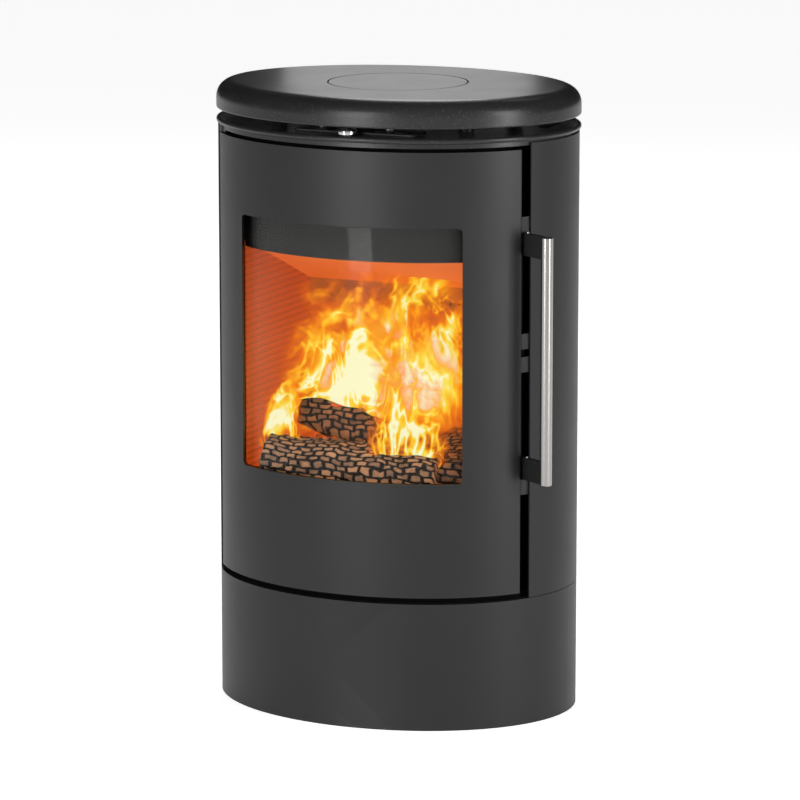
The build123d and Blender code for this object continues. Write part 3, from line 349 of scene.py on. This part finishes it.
# %% Give every CAD piece its finish
finishes = {
    door_paint: ["door_casting"],
    cast_paint: ["top_casting", "lid", "lid_cover", "flue_blanking_plate", "flue_collar"],
    # The parts inside the casing and the latch parts in the gap take near black: partly their paint, partly
    # painted shade.
    inner_paint_and_shade: ["front_frame", "bottom_casting", "left_side_plate", "right_side_plate", "back_plate",
                  "latch_hook", "casing_brackets", "air_intake_box", "foot_bars",
                  "latch_shaft", "catch_spring", "catch_screws"],
    duct_paint: ["airwash_duct"],
    liner_board: ["left_liner", "right_liner", "back_liner"],
    baffle_board: ["baffle"],
    strip_metal: ["air_strip", "air_channel"],
    hearth_iron: ["hearth_plate", "grate", "log_guard", "grate_lever"],
    handle_steel: ["handle_bar"],
    knob_chrome: ["air_knob", "arm_pins"],
    zinc_steel: ["levelling_screws", "clip_screws", "flue_bolts", "hinge_pins",
                 "hinge_washer", "slide_guides", "ash_pan"],
    spring_steel: ["glass_clips"],
    window_glass: ["door_glass"],
    seal_rope: ["door_seal", "glass_seal"],
}
finish_of = {name: finish for finish, names in finishes.items() for name in names}
for name, piece in nodes.items():
    piece.data.materials.clear()
    piece.data.materials.append(finish_of.get(name, sheet_paint))
print("pieces with a finish:", len(nodes))


# %% [markdown]
# New pieces start as a primitive and are shaped with operators. This helper leaves nothing else
# selected, so that no operator reaches a CAD piece.

# %% Modelling helpers
def clear_selection():
    """Nothing is selected or active."""
    if bpy.context.object and bpy.context.object.mode != "OBJECT":
        bpy.ops.object.mode_set(mode="OBJECT")
    bpy.ops.object.select_all(action="DESELECT")


def settle(name, material):
    """Names the active piece, applies its place and modifiers, and gives it its finish and body."""
    piece = bpy.context.object
    piece.name = name
    bpy.ops.object.transform_apply(location=True, rotation=True, scale=True)
    for modifier in list(piece.modifiers):
        bpy.ops.object.modifier_apply(modifier=modifier.name)
    piece.data.materials.clear()
    piece.data.materials.append(material)
    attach(piece, "stove")
    clear_selection()
    return piece


def smooth(piece):
    """Shades every face of a piece smooth."""
    for face in piece.data.polygons:
        face.use_smooth = True
    return piece


def cloud(name, size):
    """A cloud texture for the Displace modifier."""
    texture = bpy.data.textures.new(name, "CLOUDS")
    texture.noise_scale = size
    return texture


# %% [markdown]
# The logs are burnt bark: blocks of pale brown crust with black cracks between, and a red glow
# deep in some cracks. A brick pattern, warped and worn by noise, gives the cracks, and the tops take painted
# firelight.

# %% Charred wood
def charred_wood(name, crust, stretch, glow_share):
    """Burnt bark cracked into blocks; stretch sets the block size on each axis, per metre."""
    material, tree, shader = new_material(name, Roughness=0.85, Emission_Strength=1.0)
    place = add_node(tree, "ShaderNodeTexCoord").outputs["Object"]
    warp = add_node(tree, "ShaderNodeTexNoise", Vector=place, Scale=38.0, Detail=2.0)
    pushed = add_node(tree, "ShaderNodeVectorMath", {"operation": "MULTIPLY_ADD"})
    tree.links.new(warp.outputs["Color"], pushed.inputs[0])
    pushed.inputs[1].default_value = (0.016, 0.016, 0.016)
    tree.links.new(place, pushed.inputs[2])
    squeezed = add_node(tree, "ShaderNodeMapping", Vector=pushed.outputs["Vector"], Scale=stretch)
    apart = add_node(tree, "ShaderNodeSeparateXYZ", Vector=squeezed.outputs["Vector"])
    girth = reckon(tree, "ADD", apart.outputs["Z"], apart.outputs["Y"])
    sheet = add_node(tree, "ShaderNodeCombineXYZ", X=apart.outputs["X"], Y=girth)
    cells = add_node(
        tree, "ShaderNodeTexBrick", {"offset": 0.4}, Vector=sheet.outputs["Vector"], Color1=grey(0.25),
        Color2=grey(1.0),
        Mortar=grey(0.0), Scale=1.0, Mortar_Size=0.20, Mortar_Smooth=0.7, Brick_Width=1.0, Row_Height=0.8,
    )
    chips = add_node(tree, "ShaderNodeTexNoise", Vector=place, Scale=120.0, Detail=2.0)
    wear = add_node(tree, "ShaderNodeTexNoise", Vector=place, Scale=24.0)
    worn = reckon(tree, "MULTIPLY_ADD", wear.outputs["Fac"], 1.6, -0.35)
    solid = reckon(
        tree, "SUBTRACT", reckon(tree, "MULTIPLY_ADD", chips.outputs["Fac"], 1.1, worn),
        cells.outputs["Fac"]
    )
    block = add_node(tree, "ShaderNodeMapRange", Value=solid, From_Min=0.35, From_Max=0.80)
    fibre = add_node(tree, "ShaderNodeTexNoise", Vector=place, Scale=260.0, Detail=4.0)
    tone = reckon(tree, "MULTIPLY", fibre.outputs["Fac"], cells.outputs["Color"])
    crust_colour = mix_colours(
        tree, reckon(tree, "MULTIPLY_ADD", tone, 1.7, 0.2, clamp=True), grey(0.03), crust
    )
    colour = mix_colours(tree, block.outputs["Result"], grey(0.003), crust_colour)
    tree.links.new(colour, shader.inputs["Base Color"])
    patch = add_node(tree, "ShaderNodeTexNoise", Vector=place, Scale=14.0, Detail=1.0)
    lit = reckon(tree, "GREATER_THAN", patch.outputs["Fac"], 1.0 - glow_share)
    crack = reckon(tree, "SUBTRACT", 1.0, block.outputs["Result"])
    # Painted firelight: the tops of the blocks glow orange near the fire, standing in for the flames' light.
    lamp = use_group(tree, painted_firelight, Reach=0.17)
    top_light = reckon(tree, "MULTIPLY", lamp.outputs["Firelight"], 0.55)
    shone = mix_colours(tree, reckon(tree, "MULTIPLY", crack, lit), grey(0.0), (0.9, 0.10, 0.01, 1.0))
    glow_and_firelight = mix_colours(tree, reckon(tree, "MULTIPLY", tone, top_light), shone, (1.0, 0.34, 0.08, 1.0))
    tree.links.new(glow_and_firelight, shader.inputs["Emission Color"])
    height = reckon(tree, "MULTIPLY_ADD", fibre.outputs["Fac"], 0.25, block.outputs["Result"])
    bump(tree, shader, height, 0.9, 0.004)
    return material


front_bark = charred_wood("front_bark", (0.46, 0.25, 0.13, 1.0), (66.0, 92.0, 92.0), 0.25)
rear_bark = charred_wood("rear_bark", (0.22, 0.09, 0.04, 1.0), (70.0, 60.0, 90.0), 0.40)
print("charred wood made")


# %% [markdown]
# Each log is a cylinder. Subdivision and two Displace modifiers turn its
# smooth side into lumpy bark, and it is turned into place before its shape is applied.

# %% Build the logs
def make_log(name, start, end, radius, material):
    """A log between two points, in metres."""
    clear_selection()
    middle = [(a + b) / 2 for a, b in zip(start, end)]
    span = [b - a for a, b in zip(start, end)]
    length = sqrt(sum(s * s for s in span))
    bpy.ops.mesh.primitive_cylinder_add(vertices=40, radius=radius, depth=length)
    bpy.ops.object.mode_set(mode="EDIT")
    bpy.ops.mesh.subdivide(number_cuts=24, quadcorner="INNERVERT")
    bpy.ops.object.mode_set(mode="OBJECT")
    log = bpy.context.object
    for index, (size, depth) in enumerate(((0.05, 0.010), (0.014, 0.005))):
        displace = log.modifiers.new(f"bark_{index}", "DISPLACE")
        displace.texture = cloud(f"{name}_{index}", size)
        displace.strength = depth
        displace.texture_coords = "GLOBAL"
    log.rotation_euler = Vector(span).to_track_quat("Z", "Y").to_euler()
    log.location = middle
    return smooth(settle(name, material))


logs = [
    make_log(
        "front_log", (-0.118, -0.098, hearth_top + 0.042), (0.095, -0.088, hearth_top + 0.034), 0.033,
        front_bark
    ),
    make_log(
        "crossed_log", (-0.096, -0.050, hearth_top + 0.098), (0.030, -0.058, hearth_top + 0.068), 0.022,
        rear_bark
    ),
    make_log(
        "right_log", (0.118, -0.098, hearth_top + 0.033), (0.060, 0.045, hearth_top + 0.045), 0.028, rear_bark
    ),
    make_log(
        "rear_log", (-0.110, 0.018, hearth_top + 0.036), (0.105, 0.038, hearth_top + 0.036), 0.030, rear_bark
    ),
]
print("logs:", [log.name for log in logs])

# %% [markdown]
# Between the logs lies a bed of embers. It is a grid lifted by a cloud texture, and its glow is
# strongest in the dips, as between real coals.

# %% Embers
ember_glow, tree, shader = new_material("ember_glow", Roughness=0.95, Emission_Strength=1.0)
ember_place = add_node(tree, "ShaderNodeTexCoord").outputs["Object"]
coals = add_node(
    tree, "ShaderNodeTexVoronoi", {"feature": "DISTANCE_TO_EDGE"}, Vector=ember_place, Scale=85.0
)
ash = add_node(tree, "ShaderNodeTexNoise", Vector=ember_place, Scale=60.0, Detail=4.0)
coal_top = add_node(tree, "ShaderNodeMapRange", Value=coals.outputs["Distance"], From_Min=0.02, From_Max=0.30)
coal_colour = mix_colours(tree, ash.outputs["Fac"], (0.02, 0.015, 0.012, 1.0), (0.25, 0.20, 0.17, 1.0))
tree.links.new(coal_colour, shader.inputs["Base Color"])
warmth = reckon(
    tree, "SUBTRACT", reckon(tree, "MULTIPLY_ADD", ash.outputs["Fac"], 1.2, 0.1), coal_top.outputs[0]
)
ember_colour = ramp(
    tree,
    warmth,
    [(0.0, (0.02, 0.002, 0.0, 1.0)), (0.45, (0.75, 0.06, 0.004, 1.0)), (0.9, (1.0, 0.45, 0.05, 1.0))],
)
tree.links.new(ember_colour, shader.inputs["Emission Color"])
bump(tree, shader, coal_top.outputs[0], 0.8, 0.004)

clear_selection()
wall_clearance = 0.006
bed_half_width = fire_half_width - wall_clearance
bed_depth = fire_back - guard_back - 0.008
bed_middle = (0.0, (fire_back + guard_back) / 2, hearth_top + 0.006)
bpy.ops.mesh.primitive_grid_add(x_subdivisions=90, y_subdivisions=60, size=1.0, location=bed_middle)
bpy.context.object.scale = (2 * bed_half_width, bed_depth, 1.0)
lift = bpy.context.object.modifiers.new("lumps", "DISPLACE")
lift.texture = cloud("ember_lumps", 0.03)
lift.strength = 0.016
lift.mid_level = 0.2
lift.texture_coords = "GLOBAL"
ember_bed = smooth(settle("ember_bed", ember_glow))
print("ember bed", [round(v, 3) for v in ember_bed.dimensions])


# %% [markdown]
# Flames have no surface of their own. Here they are thin curved sheets that give off light and
# are clear where the gas isn't burning. Warped noise makes the tongues, and the sharp ridges in
# a second noise make the bright threads that a photograph of fire shows.

# %% Flame finish
def flame_finish(name, base_heat, thread, seed):
    """Glowing gas on a sheet whose UV runs from 0 to 1 across and upwards."""
    material, tree, shader = new_material(
        name, Base_Color=grey(0.0), Roughness=1.0, Specular_IOR_Level=0.0, Emission_Strength=1.0
    )
    coordinates = add_node(tree, "ShaderNodeTexCoord")
    split = add_node(tree, "ShaderNodeSeparateXYZ", Vector=coordinates.outputs["UV"])
    across, up = split.outputs["X"], split.outputs["Y"]
    moved = add_node(
        tree, "ShaderNodeMapping", Vector=coordinates.outputs["Object"], Location=(seed, 0.0, seed),
        Scale=(1.0, 1.0, 0.80)
    )
    sway = add_node(
        tree, "ShaderNodeTexNoise", Vector=moved.outputs["Vector"], Scale=7.0, Detail=2.0, Distortion=0.8
    )
    lick = add_node(
        tree, "ShaderNodeTexNoise", Vector=moved.outputs["Vector"], Scale=9.0, Detail=3.0, Distortion=3.2
    )
    fine = add_node(
        tree, "ShaderNodeTexNoise", Vector=moved.outputs["Vector"], Scale=14.0, Detail=2.0, Distortion=3.4
    )
    swing = reckon(tree, "MULTIPLY", reckon(tree, "SUBTRACT", sway.outputs["Fac"], 0.5), 0.9)
    leaned = reckon(tree, "ADD", across, reckon(tree, "MULTIPLY", swing, up))
    side = reckon(tree, "ABSOLUTE", reckon(tree, "MULTIPLY_ADD", leaned, 2.0, -1.0))
    narrowing = reckon(tree, "MULTIPLY_ADD", up, 0.40, 0.12)
    flank = add_node(
        tree, "ShaderNodeMapRange", Value=reckon(tree, "ADD", side, narrowing), From_Min=1.2, From_Max=0.35
    )
    height = reckon(tree, "MULTIPLY_ADD", lick.outputs["Fac"], -0.9, reckon(tree, "ADD", up, 0.2))
    crown = add_node(tree, "ShaderNodeMapRange", Value=height, From_Min=0.72, From_Max=0.15)
    foot = add_node(tree, "ShaderNodeMapRange", Value=up, From_Min=0.0, From_Max=0.30)
    body = reckon(tree, "MULTIPLY", flank.outputs[0], 1.5, clamp=True)
    body = reckon(tree, "MULTIPLY", body, crown.outputs[0])
    body = reckon(tree, "MULTIPLY", body, foot.outputs[0])
    ridge = reckon(tree, "ABSOLUTE", reckon(tree, "MULTIPLY_ADD", fine.outputs["Fac"], 2.0, -1.0))
    ridge = reckon(tree, "POWER", reckon(tree, "SUBTRACT", 1.0, ridge), 9.0)
    swirl = add_node(tree, "ShaderNodeMapRange", Value=lick.outputs["Fac"], From_Min=0.36, From_Max=0.66)
    stir = reckon(tree, "MULTIPLY_ADD", swirl.outputs[0], 0.75, reckon(tree, "MULTIPLY", ridge, thread))
    hot = reckon(tree, "MULTIPLY", body, reckon(tree, "ADD", stir, base_heat), clamp=True)
    colour = ramp(
        tree,
        hot,
        [
            (0.0, (0.75, 0.06, 0.0, 1.0)),
            (0.28, (1.0, 0.22, 0.005, 1.0)),
            (0.50, (1.0, 0.44, 0.012, 1.0)),
            (0.74, (1.0, 0.74, 0.06, 1.0)),
            (1.0, (1.0, 0.98, 0.62, 1.0)),
        ],
    )
    tree.links.new(colour, shader.inputs["Emission Color"])
    veil = add_node(tree, "ShaderNodeMapRange", Value=hot, From_Min=0.05, From_Max=0.50, To_Max=0.95)
    tree.links.new(veil.outputs[0], shader.inputs["Alpha"])
    return material


# %% [markdown]
# Six sheets stand in the fire, one behind another: two bodies, two bright cores and two wisps in
# front. Each gets its own gentle waves from a Displace modifier.

# %% Flame sheets
def flame_sheet(name, middle, width, height, turn, bulge, material):
    """A curved upright sheet, its foot at the given middle point."""
    clear_selection()
    bpy.ops.mesh.primitive_grid_add(
        x_subdivisions=36,
        y_subdivisions=44,
        size=1.0,
        location=(middle[0], middle[1], middle[2] + height / 2),
        rotation=(pi / 2, 0.0, radians(turn)),
    )
    sheet = bpy.context.object
    sheet.scale = (width, height, 1.0)
    wave = sheet.modifiers.new("waves", "DISPLACE")
    wave.texture = cloud(f"{name}_waves", 0.09)
    wave.strength = bulge
    wave.texture_coords = "GLOBAL"
    return smooth(settle(name, material))


core_flame = flame_finish("core_flame", 0.55, 0.55, 0.0)
body_flame = flame_finish("body_flame", 0.25, 0.75, 3.1)
wisp_flame = flame_finish("wisp_flame", 0.02, 0.95, 7.7)
ember_level = hearth_top + 0.02
flames = [
    flame_sheet("rear_flame", (-0.010, 0.030, ember_level + 0.040), 0.23, 0.250, 6, 0.02, body_flame),
    flame_sheet("core_flame_left", (-0.045, -0.010, ember_level + 0.055), 0.18, 0.165, -6, 0.02, core_flame),
    flame_sheet("core_flame_right", (0.015, -0.030, ember_level + 0.050), 0.20, 0.160, 10, 0.02, core_flame),
    flame_sheet("middle_flame", (-0.042, -0.062, ember_level + 0.035), 0.20, 0.225, 4, 0.02, body_flame),
    flame_sheet("front_wisp_left", (-0.105, -0.100, ember_level), 0.075, 0.150, -8, 0.012, wisp_flame),
    flame_sheet("front_wisp_right", (0.060, -0.105, ember_level), 0.11, 0.170, 12, 0.015, wisp_flame),
]
print("flames:", [flame.name for flame in flames])

# %% [markdown]
# The floor is white and catches only a faint shadow. The camera, reflections and glass also see
# it lit from within, which keeps the picture's ground white.

# %% Floor
clear_selection()
bpy.ops.mesh.primitive_plane_add(size=60.0)
floor = bpy.context.object
floor.name = "studio_floor"
floor_white, tree, shader = new_material(
    "floor_white", Base_Color=grey(0.85), Roughness=0.9, Emission_Strength=1.0
)
ray = add_node(tree, "ShaderNodeLightPath")
direct = reckon(tree, "MAXIMUM", ray.outputs["Is Camera Ray"], ray.outputs["Is Transmission Ray"])
mirrored = mix_colours(tree, ray.outputs["Is Glossy Ray"], grey(0.0), grey(0.55))
tree.links.new(mix_colours(tree, direct, mirrored, grey(0.80)), shader.inputs["Emission Color"])
floor.data.materials.append(floor_white)
print("floor laid")

# %% [markdown]
# The photograph is a studio picture on white. The world is white where the camera looks; to
# reflections it is bright behind the stove and dim at the sides, so the curve of the door reads.

# %% World
camera_turn = radians(23.9)
towards_camera = (sin(camera_turn), -cos(camera_turn), 0.0)
world = bpy.data.worlds.new("studio_world")
bpy.context.scene.world = world
world.use_nodes = True
tree = world.node_tree
backdrop = tree.nodes["Background"]
direction = add_node(tree, "ShaderNodeTexCoord").outputs["Generated"]
facing = add_node(tree, "ShaderNodeVectorMath", {"operation": "DOT_PRODUCT"})
tree.links.new(direction, facing.inputs[0])
facing.inputs[1].default_value = towards_camera
spread = reckon(tree, "MULTIPLY_ADD", facing.outputs["Value"], 0.5, 0.5)
reflected = ramp(
    tree, spread,
    [(0.0, grey(1.0)), (0.05, grey(0.55)), (0.17, grey(0.02)), (0.55, grey(0.08)), (1.0, grey(0.40))]
)
ray = add_node(tree, "ShaderNodeLightPath")
seen = reckon(tree, "MAXIMUM", ray.outputs["Is Camera Ray"], ray.outputs["Is Transmission Ray"])
tree.links.new(mix_colours(tree, seen, reflected, grey(1.0)), backdrop.inputs["Color"])
print("world set")


# %% [markdown]
# Two tall softboxes give the long upright highlights on the door, one to each side of the
# camera, and a third above and behind brightens the lid. Two dark cards behind the stove, out of
# the camera's sight, shade the lid's two ends.

# %% Lamps
def softbox(name, turn, distance, height, size, power):
    """A soft area lamp at an angle round the stove, aimed at its middle."""
    angle = radians(turn)
    lamp = bpy.data.lights.new(name, "AREA")
    lamp.shape = "RECTANGLE"
    lamp.size, lamp.size_y = size
    lamp.energy = power
    holder = bpy.data.objects.new(name, lamp)
    holder.location = (distance * sin(angle), -distance * cos(angle), height)
    aim = Vector((0.0, 0.0, 0.40)) - holder.location
    holder.rotation_euler = aim.to_track_quat("-Z", "Y").to_euler()
    bpy.context.collection.objects.link(holder)
    return holder


left_box = softbox("left_softbox", -13.0, 3.2, 1.0, (0.7, 2.4), 34.0)
right_box = softbox("right_softbox", 74.0, 3.0, 1.0, (0.7, 2.4), 34.0)
top_box = softbox("top_softbox", 190.0, 2.6, 3.0, (2.4, 1.6), 48.0)
clear_selection()
right_way = Vector((cos(camera_turn), sin(camera_turn), 0.0))
back_way = Vector((-sin(camera_turn), cos(camera_turn), 0.0))
card_black, tree, shader = new_material("card_black", Base_Color=grey(0.01), Roughness=1.0)
for name, aside in (("left_card", -0.42), ("right_card", 0.45)):
    bpy.ops.mesh.primitive_plane_add(size=1.0, rotation=(pi / 2, 0.0, camera_turn))
    card = bpy.context.object
    card.name = name
    card.scale = (0.55, 0.9, 1.0)
    card.location = right_way * aside + back_way * 0.50 + Vector((0.0, 0.0, 1.15))
    card.data.materials.append(card_black)
    card.visible_camera = False
print("lamps:", left_box.name, right_box.name, top_box.name)

# %% [markdown]
# The camera stands where the photograph was taken from: far off with a long lens, a little to
# the right of the stove and above its lid.

# %% Camera
camera_distance = 5.370
camera_height = 1.405
camera_pitch = 11.05
camera_yaw = -0.026
camera_data = bpy.data.cameras.new("photo_camera")
camera_data.sensor_width = 36.0
camera_data.lens = 207.9
camera = bpy.data.objects.new("photo_camera", camera_data)
camera.location = (camera_distance * sin(camera_turn), -camera_distance * cos(camera_turn), camera_height)
camera.rotation_euler = (radians(90.0 - camera_pitch), 0.0, camera_turn + radians(camera_yaw))
bpy.context.collection.objects.link(camera)
bpy.context.scene.camera = camera
bpy.context.scene.view_settings.view_transform = "Standard"
print("camera at", [round(v, 3) for v in camera.location])
